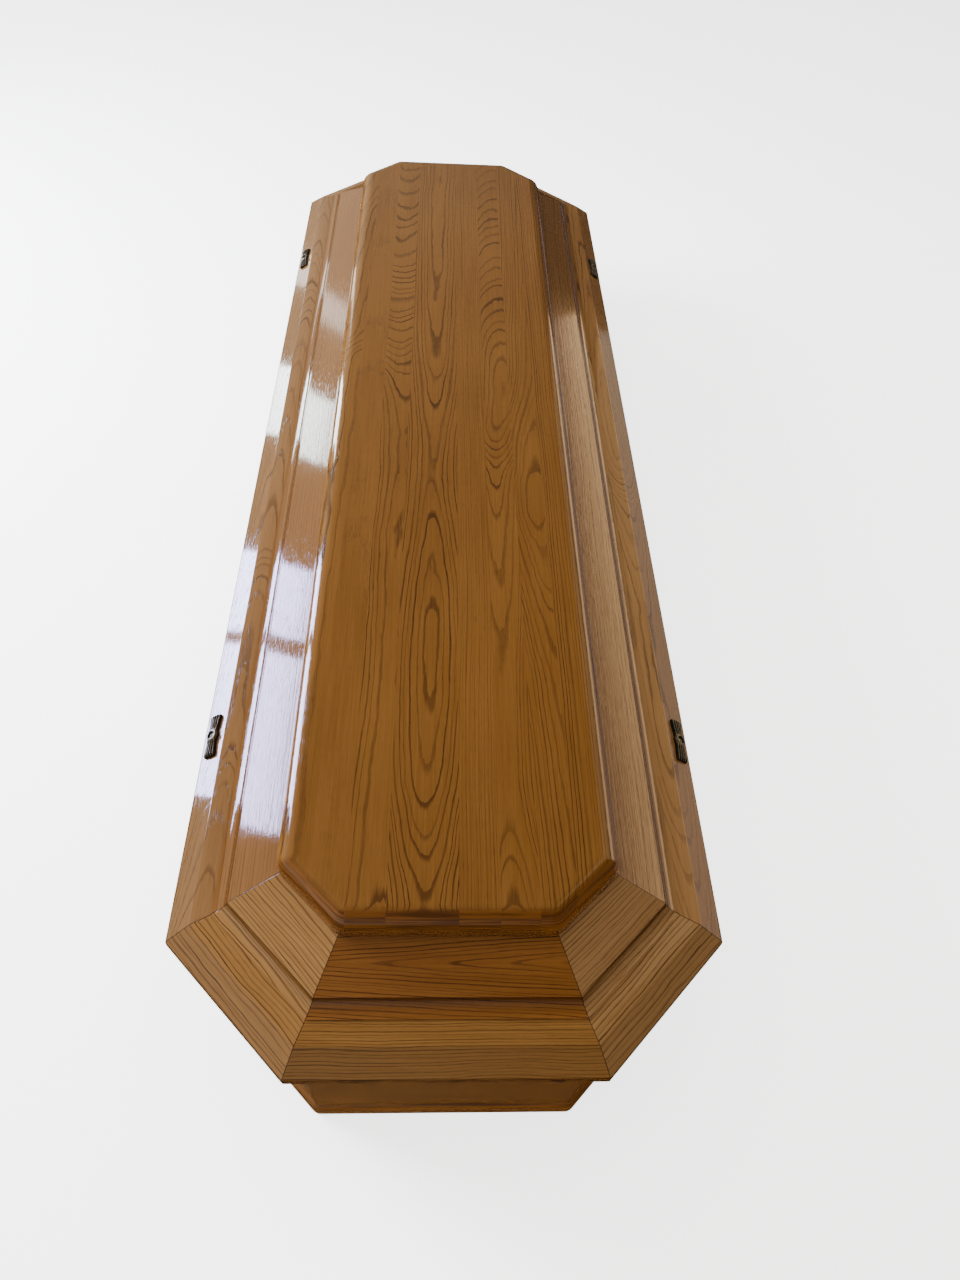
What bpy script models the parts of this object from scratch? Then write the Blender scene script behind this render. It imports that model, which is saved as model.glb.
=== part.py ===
"""Wooden coffin with an eight-sided body and a mitred two-tier lid.

The plan is a rectangle with its corners cut at 45 degrees. The body is eight upright walls on a
base board. The lid lies on the walls: eight moulding boards, eight sloping boards above them and
a flat panel on top. Four cast plates with slotted screws sit on the long sides of the lid.

Metres, +Z up. The origin is under the middle of the base board. -Y is the foot end.
"""
import math

import bmesh
import bpy
from mathutils import Matrix, Vector

# Plan of the lid, which is the widest part
LENGTH = 2.000
WIDTH = 0.630
CORNER_CUT = 0.145

# Gap kept between pieces that touch
FIT_GAP = 0.0003

# Base board and walls
BASE_THICK = 0.030
BASE_PROUD = 0.005
BASE_NOSING_RADIUS = 0.010
BASE_UNDER_RADIUS = 0.004
BASE_CORNER_RADIUS = 0.015
LID_OVERHANG = 0.030
WALL_THICK = 0.022
WALL_HEIGHT = 0.220

# Moulding boards: the outer tier of the lid
EDGE_HEIGHT = 0.012
EDGE_UNDER_RADIUS = 0.002
EDGE_TOP_RADIUS = 0.004
OUTER_STRIP_RUN = 0.028
OUTER_STRIP_RISE = 0.020
CREASE_RADIUS = 0.004
INNER_PLANE_RUN = 0.0245
INNER_PLANE_RISE = 0.006
MOULDING_WIDTH = 0.095
MOULDING_INNER_THICK = 0.018
RIM_LEDGE = 0.008

# Sloping boards: the inner tier of the lid, with a cove at their foot
COVE_FILLET = 0.0012
COVE_RUN = 0.0185
COVE_RISE = 0.0125
COVE_RADIUS = 0.022
ARRIS_RADIUS = 0.0012
SLOPE_RUN = 0.0625
SLOPE_RISE = 0.0277
SLOPE_THICK = 0.020
SEAT_WIDTH = 0.026

# Flat panel on top
PANEL_THICK = 0.030
PANEL_LAP = 0.0035
PANEL_TOP_RADIUS = 0.012
PANEL_UNDER_RADIUS = 0.005
PANEL_CORNER_RADIUS = 0.014

# Cast plates on the outer strip
PLATE_FROM_END = 0.410
PLATE_LENGTH = 0.063
PLATE_END_WIDTH = 0.0182
PLATE_WAIST_WIDTH = 0.0138
PLATE_THICK = 0.0016
PLATE_RIBS = 4
RIB_HEIGHT = 0.0016
RIB_OVERRUN = 0.0022
BOSS_RADIUS = 0.0085
BOSS_HEIGHT = 0.0034
RECESS_FLOOR = 0.0012

# Slotted screws
HEAD_RADIUS = 0.0048
HEAD_HEIGHT = 0.0026
HEAD_DOME = 0.0014
SLOT_WIDTH = 0.0014
SLOT_DEPTH = 0.0012
SHANK_RADIUS = 0.0020
SCREW_BITE = 0.015
SHANK_CLEARANCE = 0.0003
HEAD_CLEARANCE = 0.0006

# Where the relief of a plate starts and ends, as shares of its half length, half width or boss radius
FLARE_START = 0.25
SCALLOP_START = 0.80
SHOULDER_SHARE = 0.20
BOSS_FOOT = 1.45
BOSS_TOP = 0.85
RIB_START = 0.90
RIB_FULL = 1.40
RIB_TIP = 1.02
RIB_FALL = 0.92
CROWN_SHARE = 0.50

# Fineness of curved surfaces
ARC_STEP = math.radians(16)
PLATE_CELLS_ALONG = 24
PLATE_CELLS_PER_RIB = 4
SCREW_SIDES = 16
WELD_DISTANCE = 0.00001
FLAT_ANGLE = 0.001

# Heights worked out from the sizes above
WALL_FOOT = BASE_THICK + FIT_GAP
RIM = WALL_FOOT + WALL_HEIGHT
LID_UNDERSIDE = RIM + FIT_GAP
EDGE_TOP = LID_UNDERSIDE + EDGE_HEIGHT
CREASE = EDGE_TOP + OUTER_STRIP_RISE
MOULDING_SEAT = CREASE + INNER_PLANE_RISE
SLOPE_FOOT = MOULDING_SEAT + FIT_GAP
ARRIS = SLOPE_FOOT + COVE_FILLET + COVE_RISE
SLOPE_HEAD = ARRIS + SLOPE_RISE
PANEL_UNDERSIDE = SLOPE_HEAD + FIT_GAP

# Insets from the lid's outer edge
COVE_INSET = OUTER_STRIP_RUN + INNER_PLANE_RUN
ARRIS_INSET = COVE_INSET + COVE_RUN
SEAT_INSET = ARRIS_INSET + SLOPE_RUN
PANEL_INSET = SEAT_INSET - PANEL_LAP
BASE_INSET = LID_OVERHANG - BASE_PROUD

# Half of the 45 degree turn between two neighbouring sides
MITRE = math.pi / 8
SIDE_NAMES = ("right", "head_right", "head", "head_left", "left", "foot_left", "foot", "foot_right")

# Colours and finishes
OAK_HONEY = (0.30, 0.135, 0.035)
OAK_AMBER = (0.23, 0.095, 0.022)
OAK_UMBER = (0.15, 0.062, 0.016)
CAST_BRONZE = (0.11, 0.085, 0.055)
SCREW_METAL = (0.16, 0.13, 0.09)
LACQUER_ROUGHNESS = 0.18
CASTING_ROUGHNESS = 0.45
SCREW_ROUGHNESS = 0.40


def clear_scene():
    """Remove what the file holds, so that the model stands alone."""
    for old in list(bpy.data.objects):
        bpy.data.objects.remove(old, do_unlink=True)


def new_collection(name):
    """A collection linked to the scene."""
    group = bpy.data.collections.new(name)
    bpy.context.scene.collection.children.link(group)
    return group


def finish_material(name, colour, roughness, metallic):
    """A plain Principled material."""
    material = bpy.data.materials.new(name)
    material.use_nodes = True
    shader = material.node_tree.nodes["Principled BSDF"]
    shader.inputs["Base Color"].default_value = (*colour, 1.0)
    shader.inputs["Roughness"].default_value = roughness
    shader.inputs["Metallic"].default_value = metallic
    material.diffuse_color = (*colour, 1.0)
    return material


def lacquered_oak(name, colour):
    """Glossy lacquer over stained oak."""
    return finish_material(name, colour, LACQUER_ROUGHNESS, 0)


def round_outline(corners):
    """An outline whose corners (x, y, radius) are rounded by arcs."""
    outline = []
    for index, (x, y, radius) in enumerate(corners):
        here = Vector((x, y))
        if radius == 0:
            outline.append(here)
            continue
        before = Vector(corners[index - 1][:2])
        after = Vector(corners[(index + 1) % len(corners)][:2])
        back = (before - here).normalized()
        ahead = (after - here).normalized()
        half = back.angle(ahead) / 2
        centre = here + (back + ahead).normalized() * radius / math.sin(half)
        start = here + back * radius / math.tan(half) - centre
        turn = start.angle_signed(here + ahead * radius / math.tan(half) - centre)
        steps = max(2, math.ceil(abs(turn) / ARC_STEP))
        for step in range(steps + 1):
            outline.append(centre + Matrix.Rotation(-turn * step / steps, 2) @ start)
    return outline


def hollow_arc(start, end, radius):
    """Points of a concave arc between two points, its centre up and to the left of the chord."""
    chord = end - start
    middle = (start + end) / 2
    across = Vector((-chord.y, chord.x)).normalized()
    centre = middle + across * math.sqrt(radius ** 2 - (chord.length / 2) ** 2)
    first = start - centre
    turn = 2 * math.asin(chord.length / 2 / radius)
    steps = max(2, math.ceil(turn / ARC_STEP))
    return [centre + Matrix.Rotation(turn * step / steps, 2) @ first for step in range(steps + 1)]


def plan_outline(inset, radius):
    """The eight-sided plan, drawn in by an inset, with its corners rounded."""
    half_width = WIDTH / 2 - inset
    half_length = LENGTH / 2 - inset
    cut = CORNER_CUT - inset * (2 - math.sqrt(2))
    quarter = [(half_width, half_length - cut), (half_width - cut, half_length)]
    half = quarter + [(-x, y) for x, y in reversed(quarter)]
    whole = half + [(-x, -y) for x, y in half]
    return round_outline([(x, y, radius) for x, y in whole])


def extruded_outline(name, outline, half_thick):
    """A closed mesh: a flat outline in XY, thickened both ways along Z."""
    curve = bpy.data.curves.new(name, "CURVE")
    curve.dimensions = "2D"
    curve.fill_mode = "BOTH"
    curve.extrude = half_thick
    spline = curve.splines.new("POLY")
    spline.points.add(len(outline) - 1)
    for point, (x, y) in zip(spline.points, outline):
        point.co = (x, y, 0.0, 1.0)
    spline.use_cyclic_u = True
    guide = bpy.data.objects.new(name + "_outline", curve)
    bpy.context.scene.collection.objects.link(guide)
    evaluated = guide.evaluated_get(bpy.context.evaluated_depsgraph_get())
    mesh = bpy.data.meshes.new_from_object(evaluated)
    bpy.data.objects.remove(guide, do_unlink=True)
    mesh.name = name
    shape = bmesh.new()
    shape.from_mesh(mesh)
    bmesh.ops.remove_doubles(shape, verts=shape.verts, dist=WELD_DISTANCE)
    bmesh.ops.recalc_face_normals(shape, faces=shape.faces)
    shape.to_mesh(mesh)
    shape.free()
    return mesh


def add_part(name, mesh, material, group, place):
    """Put a mesh in the scene as a named part."""
    part = bpy.data.objects.new(name, mesh)
    if not mesh.materials:
        mesh.materials.append(material)
    group.objects.link(part)
    part.matrix_world = place
    return part


def side_places():
    """For each side: its name, half its outer length, and the frame at the middle of that edge.

    In that frame X runs inward, Y runs along the side and Z is up.
    """
    half_width = WIDTH / 2
    half_length = LENGTH / 2
    long_half = half_length - CORNER_CUT
    short_half = half_width - CORNER_CUT
    corner_half = CORNER_CUT / math.sqrt(2)
    corner_x = half_width - CORNER_CUT / 2
    corner_y = half_length - CORNER_CUT / 2
    middles = ((half_width, 0), (corner_x, corner_y), (0, half_length), (-corner_x, corner_y),
               (-half_width, 0), (-corner_x, -corner_y), (0, -half_length), (corner_x, -corner_y))
    halves = (long_half, corner_half, short_half, corner_half) * 2
    places = []
    for index, (name, middle, half) in enumerate(zip(SIDE_NAMES, middles, halves)):
        turn = Matrix.Rotation(index * 2 * MITRE + math.pi, 4, "Z")
        places.append((name, half, Matrix.Translation((*middle, 0)) @ turn))
    return places


def mitred_board(name, section, side, material, group):
    """A length of one section (inset, height), cut at both ends on the mitres."""
    _, half, place = side
    mesh = extruded_outline(name, section, half)
    mesh.transform(Matrix.Rotation(math.pi / 2, 4, "X"))
    for vertex in mesh.vertices:
        reach = half - vertex.co.x * math.tan(MITRE) - FIT_GAP / 2 / math.cos(MITRE)
        vertex.co.y = math.copysign(reach, vertex.co.y)
    return add_part(name, mesh, material, group, place)


def wall_section():
    """An upright board."""
    inner = LID_OVERHANG + WALL_THICK
    return [Vector((LID_OVERHANG, WALL_FOOT)), Vector((inner, WALL_FOOT)),
            Vector((inner, RIM)), Vector((LID_OVERHANG, RIM))]


def moulding_section():
    """The outer tier: small upright edge, steeper strip, crease, gentler plane and a flat seat."""
    flat_end = LID_OVERHANG + WALL_THICK + RIM_LEDGE
    return round_outline([
        (0, LID_UNDERSIDE, EDGE_UNDER_RADIUS),
        (0, EDGE_TOP, EDGE_TOP_RADIUS),
        (OUTER_STRIP_RUN, CREASE, CREASE_RADIUS),
        (COVE_INSET, MOULDING_SEAT, 0),
        (MOULDING_WIDTH, MOULDING_SEAT, 0),
        (MOULDING_WIDTH, MOULDING_SEAT - MOULDING_INNER_THICK, 0),
        (flat_end, LID_UNDERSIDE, 0),
    ])


def slope_section():
    """The inner tier: a small fillet, a cove, a crisp edge, the slope and a flat seat."""
    pitch = SLOPE_RISE / SLOPE_RUN
    drop = SLOPE_THICK * math.sqrt(1 + pitch ** 2)
    seat_end = SEAT_INSET + SEAT_WIDTH
    cove_start = Vector((COVE_INSET, SLOPE_FOOT + COVE_FILLET))
    arris = Vector((ARRIS_INSET, ARRIS))
    cove = hollow_arc(cove_start, arris, COVE_RADIUS)
    corners = [(COVE_INSET, SLOPE_FOOT, 0)]
    corners += [(point.x, point.y, 0) for point in cove[:-1]]
    corners += [
        (arris.x, arris.y, ARRIS_RADIUS),
        (SEAT_INSET, SLOPE_HEAD, 0),
        (seat_end, SLOPE_HEAD, 0),
        (seat_end, ARRIS + (seat_end - ARRIS_INSET) * pitch - drop, 0),
        (ARRIS_INSET + (SLOPE_FOOT - ARRIS + drop) / pitch, SLOPE_FOOT, 0),
    ]
    return round_outline(corners)


def rounded_board(name, inset, corner_radius, under, thick, top_radius, under_radius, material, group):
    """A flat eight-sided board with its upper and lower edges rounded."""
    mesh = extruded_outline(name, plan_outline(inset, corner_radius), thick / 2)
    shape = bmesh.new()
    shape.from_mesh(mesh)
    bmesh.ops.dissolve_limit(shape, angle_limit=FLAT_ANGLE, verts=shape.verts, edges=shape.edges)
    for sign, radius in ((1, top_radius), (-1, under_radius)):
        rim = [edge for edge in shape.edges
               if all(abs(vertex.co.z - sign * thick / 2) < WELD_DISTANCE for vertex in edge.verts)]
        steps = math.ceil(math.pi / 2 / ARC_STEP)
        bmesh.ops.bevel(shape, geom=rim, offset=radius, offset_type="OFFSET", segments=steps,
                        profile=0.5, affect="EDGES", clamp_overlap=True)
    shape.to_mesh(mesh)
    shape.free()
    mesh.shade_smooth()
    mesh.set_sharp_from_angle(angle=2 * ARC_STEP)
    return add_part(name, mesh, material, group, Matrix.Translation((0, 0, under + thick / 2)))


def plate_seat(side, station):
    """The frame on the outer strip where a plate lies: X along the side, Z out of the strip.

    The station is the plate's place along the coffin, from the middle towards the head.
    """
    place = side[2]
    along = Vector((OUTER_STRIP_RUN, 0, OUTER_STRIP_RISE)).normalized()
    out = Vector((-along.z, 0, along.x))
    frame = Matrix((Vector((0, -1, 0)), along, out)).transposed().to_4x4()
    reach = (place.inverted() @ Vector((0, station, 0))).y
    middle = Vector((OUTER_STRIP_RUN / 2, reach, (EDGE_TOP + CREASE) / 2))
    return place @ Matrix.Translation(middle) @ frame


def rise(value, start, full):
    """A smooth step from 0, where the value is at the start, to 1, where it is full."""
    share = min(max((value - start) / (full - start), 0), 1)
    return share * share * (3 - 2 * share)


def plate_point(along, across):
    """Where a point of the plate's face lies; along and across run from -1 to 1."""
    flare = rise(abs(along), FLARE_START, 1)
    half_width = (PLATE_WAIST_WIDTH + (PLATE_END_WIDTH - PLATE_WAIST_WIDTH) * flare) / 2
    x = along * (PLATE_LENGTH / 2 - RIB_OVERRUN)
    if abs(x) < BOSS_RADIUS:
        half_width = max(half_width, math.sqrt(BOSS_RADIUS ** 2 - x ** 2))
    ridge = abs(math.sin(math.pi * PLATE_RIBS / 2 * (across + 1)))
    x += math.copysign(RIB_OVERRUN * ridge * rise(abs(along), SCALLOP_START, 1), along)
    y = across * half_width
    from_boss = math.hypot(x, y) / BOSS_RADIUS
    boss = BOSS_HEIGHT * rise(from_boss, BOSS_FOOT, BOSS_TOP)
    shoulder = rise(abs(across), 1, 1 - SHOULDER_SHARE)
    ribs = RIB_HEIGHT * ridge * rise(from_boss, RIB_START, RIB_FULL) * rise(abs(along), RIB_TIP, RIB_FALL)
    crown = RIB_HEIGHT * CROWN_SHARE * (1 - across ** 2)
    return Vector((x, y, PLATE_THICK + shoulder * boss + ribs + crown * shoulder))


def plate_mesh():
    """A cast plate: ribs that flare to both ends, and a round boss in the middle."""
    shape = bmesh.new()
    bmesh.ops.create_grid(shape, x_segments=PLATE_CELLS_ALONG, y_segments=PLATE_RIBS * PLATE_CELLS_PER_RIB,
                          size=1)
    back = bmesh.ops.extrude_face_region(shape, geom=list(shape.faces))["geom"]
    back_points = {item for item in back if isinstance(item, bmesh.types.BMVert)}
    for vertex in shape.verts:
        point = plate_point(vertex.co.x, vertex.co.y)
        if vertex in back_points:
            point.z = 0
        vertex.co = point
    bmesh.ops.recalc_face_normals(shape, faces=shape.faces)
    bmesh.ops.dissolve_limit(shape, angle_limit=FLAT_ANGLE, verts=list(back_points),
                             edges=[edge for edge in shape.edges
                                    if all(vertex in back_points for vertex in edge.verts)])
    mesh = bpy.data.meshes.new("screw_plate")
    shape.to_mesh(mesh)
    shape.free()
    return mesh


def cylinder_mesh(name, radius, low, high):
    """An upright cylinder between two heights."""
    shape = bmesh.new()
    bmesh.ops.create_cone(shape, cap_ends=True, segments=SCREW_SIDES, radius1=radius, radius2=radius,
                          depth=high - low, matrix=Matrix.Translation((0, 0, (low + high) / 2)))
    mesh = bpy.data.meshes.new(name)
    shape.to_mesh(mesh)
    shape.free()
    return mesh


def box_mesh(name, long, wide, high):
    """A box centred on its origin."""
    shape = bmesh.new()
    bmesh.ops.create_cube(shape, size=1, matrix=Matrix.Diagonal((long, wide, high, 1)))
    mesh = bpy.data.meshes.new(name)
    shape.to_mesh(mesh)
    shape.free()
    return mesh


def turned_mesh(name, profile):
    """A turned solid from a profile (radius, height), given from top to bottom."""
    mesh = bpy.data.meshes.new(name)
    mesh.from_pydata([(radius, 0, height) for radius, height in profile],
                     [(index, index + 1) for index in range(len(profile) - 1)], [])
    turning = bpy.data.objects.new(name + "_turning", mesh)
    bpy.context.scene.collection.objects.link(turning)
    screw = turning.modifiers.new("Turn", "SCREW")
    screw.steps = SCREW_SIDES
    screw.render_steps = SCREW_SIDES
    screw.use_merge_vertices = True
    screw.merge_threshold = WELD_DISTANCE
    turned = bpy.data.meshes.new_from_object(
        turning.evaluated_get(bpy.context.evaluated_depsgraph_get()))
    bpy.data.objects.remove(turning, do_unlink=True)
    turned.name = name
    return turned


def screw_tip():
    """How far down from the strip the screw reaches: through the moulding and into the wall."""
    upright_share = OUTER_STRIP_RUN / math.hypot(OUTER_STRIP_RUN, OUTER_STRIP_RISE)
    through_lid = ((EDGE_TOP + CREASE) / 2 - LID_UNDERSIDE) / upright_share
    return -(through_lid + SCREW_BITE)


def screw_head_top():
    """How far the screw's head stands out from the strip."""
    return FIT_GAP + RECESS_FLOOR + FIT_GAP + HEAD_HEIGHT


def screw_profile():
    """A low domed head on a straight shank with a blunt point."""
    top = screw_head_top()
    under_head = top - HEAD_HEIGHT
    dome_steps = math.ceil(math.pi / 2 / ARC_STEP) - 1
    dome = []
    for step in range(dome_steps):
        angle = math.pi / 2 * step / dome_steps
        dome.append((HEAD_RADIUS * math.sin(angle), top - HEAD_DOME * (1 - math.cos(angle))))
    tip = screw_tip()
    return dome + [(HEAD_RADIUS, top - HEAD_DOME), (HEAD_RADIUS, under_head), (SHANK_RADIUS, under_head),
                   (SHANK_RADIUS, tip + 2 * SHANK_RADIUS), (0, tip)]


def cut_from(part, cutter, name):
    """Take a cutter out of a part."""
    cut = part.modifiers.new(name, "BOOLEAN")
    cut.operation = "DIFFERENCE"
    cut.object = cutter


def add_cutter(name, mesh, group, place):
    """A hidden shape that is taken out of a part."""
    cutter = bpy.data.objects.new(name, mesh)
    group.objects.link(cutter)
    cutter.hide_render = True
    cutter.display_type = "WIRE"
    cutter.matrix_world = place
    return cutter


def build_body(sides, parts):
    """The base board and the eight walls."""
    rounded_board("base_board", BASE_INSET, BASE_CORNER_RADIUS, 0, BASE_THICK, BASE_NOSING_RADIUS,
                  BASE_UNDER_RADIUS, lacquered_oak("base_oak", OAK_UMBER), parts)
    oak = lacquered_oak("wall_oak", OAK_UMBER)
    return {side[0]: mitred_board("wall_" + side[0], wall_section(), side, oak, parts) for side in sides}


def build_lid(sides, parts):
    """The two mitred tiers and the panel."""
    outer_oak = lacquered_oak("moulding_oak", OAK_AMBER)
    inner_oak = lacquered_oak("slope_oak", OAK_HONEY)
    mouldings = {}
    for side in sides:
        name = side[0]
        mouldings[name] = mitred_board("lid_moulding_" + name, moulding_section(), side, outer_oak, parts)
        mitred_board("lid_slope_" + name, slope_section(), side, inner_oak, parts)
    rounded_board("lid_top_panel", PANEL_INSET, PANEL_CORNER_RADIUS, PANEL_UNDERSIDE, PANEL_THICK,
                  PANEL_TOP_RADIUS, PANEL_UNDER_RADIUS, lacquered_oak("panel_oak", OAK_AMBER), parts)
    return mouldings


def build_fastening(name, seat_place, moulding, wall, meshes, finishes, parts, cutters):
    """One plate with its screw, and the holes that the screw passes through."""
    seat = bpy.data.objects.new("seat_" + name, None)
    parts.objects.link(seat)
    seat.matrix_world = seat_place
    lifted = seat_place @ Matrix.Translation((0, 0, FIT_GAP))
    head_top = seat_place @ Matrix.Translation((0, 0, screw_head_top()))
    plate = add_part("screw_plate_" + name, meshes["plate"], finishes["plate"], parts, lifted)
    screw = add_part("lid_screw_" + name, meshes["screw"], finishes["screw"], parts, seat_place)
    recess = add_cutter("recess_" + name, meshes["recess"], cutters, lifted)
    bore = add_cutter("bore_" + name, meshes["bore"], cutters, seat_place)
    slot = add_cutter("slot_" + name, meshes["slot"], cutters, head_top)
    cut_from(plate, recess, "Recess")
    cut_from(plate, bore, "Bore")
    cut_from(screw, slot, "Slot")
    cut_from(moulding, bore, "Bore_" + name)
    cut_from(wall, bore, "Bore_" + name)
    for piece in (plate, screw, recess, bore, slot):
        piece.parent = seat
        piece.matrix_parent_inverse = seat_place.inverted()


def build_fastenings(sides, mouldings, walls, parts, cutters):
    """Plates and screws on the two long sides."""
    head_top = screw_head_top()
    meshes = {
        "plate": plate_mesh(),
        "screw": turned_mesh("lid_screw", screw_profile()),
        "recess": cylinder_mesh("recess", HEAD_RADIUS + HEAD_CLEARANCE, RECESS_FLOOR, 2 * head_top),
        "bore": cylinder_mesh("bore", SHANK_RADIUS + SHANK_CLEARANCE, screw_tip() - FIT_GAP, head_top),
        "slot": box_mesh("slot", 4 * HEAD_RADIUS, SLOT_WIDTH, 2 * SLOT_DEPTH),
    }
    finishes = {
        "plate": finish_material("cast_bronze", CAST_BRONZE, CASTING_ROUGHNESS, 1),
        "screw": finish_material("screw_metal", SCREW_METAL, SCREW_ROUGHNESS, 1),
    }
    for side in sides:
        if side[0] not in ("left", "right"):
            continue
        for end, station in (("foot", PLATE_FROM_END - LENGTH / 2), ("head", LENGTH / 2 - PLATE_FROM_END)):
            build_fastening(end + "_" + side[0], plate_seat(side, station), mouldings[side[0]],
                            walls[side[0]], meshes, finishes, parts, cutters)


def build():
    """Make the whole coffin."""
    clear_scene()
    parts = new_collection("wooden_coffin")
    cutters = new_collection("cutters")
    sides = side_places()
    walls = build_body(sides, parts)
    mouldings = build_lid(sides, parts)
    build_fastenings(sides, mouldings, walls, parts, cutters)


build()
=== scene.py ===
"""Looks of the lacquered oak coffin: eased boards, oak grain, cast plates, light and camera."""
import math

import bmesh
import bpy
from mathutils import Matrix, Vector


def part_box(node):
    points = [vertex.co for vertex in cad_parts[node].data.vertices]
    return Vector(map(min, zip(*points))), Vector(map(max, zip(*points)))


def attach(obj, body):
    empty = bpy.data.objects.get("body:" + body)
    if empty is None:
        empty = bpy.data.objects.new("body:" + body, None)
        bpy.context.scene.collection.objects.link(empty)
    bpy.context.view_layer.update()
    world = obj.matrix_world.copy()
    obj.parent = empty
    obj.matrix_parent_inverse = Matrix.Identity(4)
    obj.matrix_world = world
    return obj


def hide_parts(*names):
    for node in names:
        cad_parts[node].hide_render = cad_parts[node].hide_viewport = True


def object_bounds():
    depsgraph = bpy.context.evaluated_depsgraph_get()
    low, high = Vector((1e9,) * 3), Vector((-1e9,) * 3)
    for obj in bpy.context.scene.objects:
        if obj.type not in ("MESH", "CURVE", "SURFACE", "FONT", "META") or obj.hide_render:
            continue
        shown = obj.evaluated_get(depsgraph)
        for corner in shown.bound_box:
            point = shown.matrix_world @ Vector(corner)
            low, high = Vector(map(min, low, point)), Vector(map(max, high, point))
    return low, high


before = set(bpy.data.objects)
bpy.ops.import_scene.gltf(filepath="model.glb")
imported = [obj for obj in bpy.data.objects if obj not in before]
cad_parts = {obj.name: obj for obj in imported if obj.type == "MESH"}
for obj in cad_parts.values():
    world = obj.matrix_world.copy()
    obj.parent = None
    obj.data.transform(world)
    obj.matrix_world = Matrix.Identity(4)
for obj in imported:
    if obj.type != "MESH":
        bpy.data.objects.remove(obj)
cad_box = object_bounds()


def low(node):
    """The lowest corner of a part of the model."""
    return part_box(node)[0]


def high(node):
    """The highest corner of a part of the model."""
    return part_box(node)[1]


# Plan of the lid, and the gap between pieces that touch
LENGTH = cad_box[1].y - cad_box[0].y
WIDTH = cad_box[1].x - cad_box[0].x
CORNER_CUT = 0.145
FIT_GAP = low("lid_slope_foot").z - high("lid_moulding_foot").z

# Base board and walls
BASE_THICK = high("base_board").z
BASE_INSET = (WIDTH - high("base_board").x + low("base_board").x) / 2
BASE_NOSING_RADIUS = 0.010
BASE_UNDER_RADIUS = 0.004
BASE_CORNER_RADIUS = 0.015
WALL_INSET = high("lid_moulding_right").x - high("wall_right").x
WALL_THICK = high("wall_right").x - low("wall_right").x
WALL_FOOT = low("wall_right").z
RIM = high("wall_right").z

# Moulding boards
LID_UNDERSIDE = low("lid_moulding_foot").z
MOULDING_SEAT = high("lid_moulding_foot").z
MOULDING_WIDTH = high("lid_moulding_right").x - low("lid_moulding_right").x
EDGE_TOP = LID_UNDERSIDE + 0.012
EDGE_UNDER_RADIUS = 0.002
EDGE_TOP_RADIUS = 0.004
OUTER_STRIP_RUN = 0.028
CREASE = EDGE_TOP + 0.020
CREASE_RADIUS = 0.004
MOULDING_INNER_THICK = 0.018
RIM_LEDGE = 0.008

# Sloping boards
SLOPE_FOOT = low("lid_slope_foot").z
SLOPE_HEAD = high("lid_slope_foot").z
COVE_INSET = high("lid_moulding_right").x - high("lid_slope_right").x
SEAT_END = high("lid_moulding_right").x - low("lid_slope_right").x
COVE_FILLET = 0.0012
COVE_RUN = 0.0185
COVE_RADIUS = 0.022
ARRIS_INSET = COVE_INSET + COVE_RUN
ARRIS = SLOPE_FOOT + COVE_FILLET + 0.0125
ARRIS_RADIUS = 0.0012
SLOPE_RUN = 0.0625
SEAT_INSET = ARRIS_INSET + SLOPE_RUN
SLOPE_THICK = 0.020
SLOPE_PITCH = math.atan2(SLOPE_HEAD - ARRIS, SLOPE_RUN)

# Top panel
PANEL_UNDERSIDE = low("lid_top_panel").z
PANEL_TOP = high("lid_top_panel").z
PANEL_LIP = 0.004
PANEL_INSET = (WIDTH - high("lid_top_panel").x + low("lid_top_panel").x) / 2 - PANEL_LIP
PANEL_ROUND_RUN = 0.023
PANEL_ROUND_DROP = 0.020
PANEL_CORNER_RADIUS = 0.026
PANEL_LIP_ROUND = 0.001

# Plates and screws
PLATE_FROM_END = 0.410
PLATE_LENGTH = high("screw_plate_foot_left").y - low("screw_plate_foot_left").y
PLATE_END_WIDTH = 0.0182
PLATE_WAIST_WIDTH = 0.0138
PLATE_THICK = 0.0016
PLATE_RIBS = 5
RIB_HEIGHT = 0.0024
RIB_OVERRUN = 0.0022
BOSS_RADIUS = 0.0085
BOSS_HEIGHT = 0.0034
RECESS_FLOOR = 0.0012
HEAD_RADIUS = 0.0048
HEAD_HEIGHT = 0.0026
HEAD_DOME = 0.0014
HEAD_CLEARANCE = 0.0006
HEAD_TOP = FIT_GAP + RECESS_FLOOR + FIT_GAP + HEAD_HEIGHT
SLOT_WIDTH = 0.0014
SLOT_DEPTH = 0.0012
SHANK_RADIUS = 0.0020
SHANK_CLEARANCE = 0.0003
SCREW_BITE = 0.015

# Relief of the plates, as shares of their half length, half width or boss radius
FLARE_START = 0.25
SCALLOP_START = 0.80
SHOULDER_SHARE = 0.20
BOSS_FOOT = 1.45
BOSS_TOP = 0.85
RIB_START = 0.90
RIB_FULL = 1.40
RIB_TIP = 1.02
RIB_FALL = 0.92
CROWN_SHARE = 0.60
PLATE_CELLS_ALONG = 120
PLATE_CELLS_PER_RIB = 10
SCREW_SIDES = 64
DOME_STEPS = 10

# Fineness of round stretches, and the eased edge at a mitre
ARC_STEP = math.radians(6)
EASE = 0.0004
SHARP_ANGLE = math.radians(15)
MITRE = math.pi / 8
UPRIGHT = math.pi / 2
PLAN_CORNER_STEPS = 8
NOISE_MIDDLE = 0.5
SIDE_NAMES = ("right", "head_right", "head", "head_left", "left", "foot_left", "foot", "foot_right")
LONG_SIDES = ("left", "right")


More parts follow.
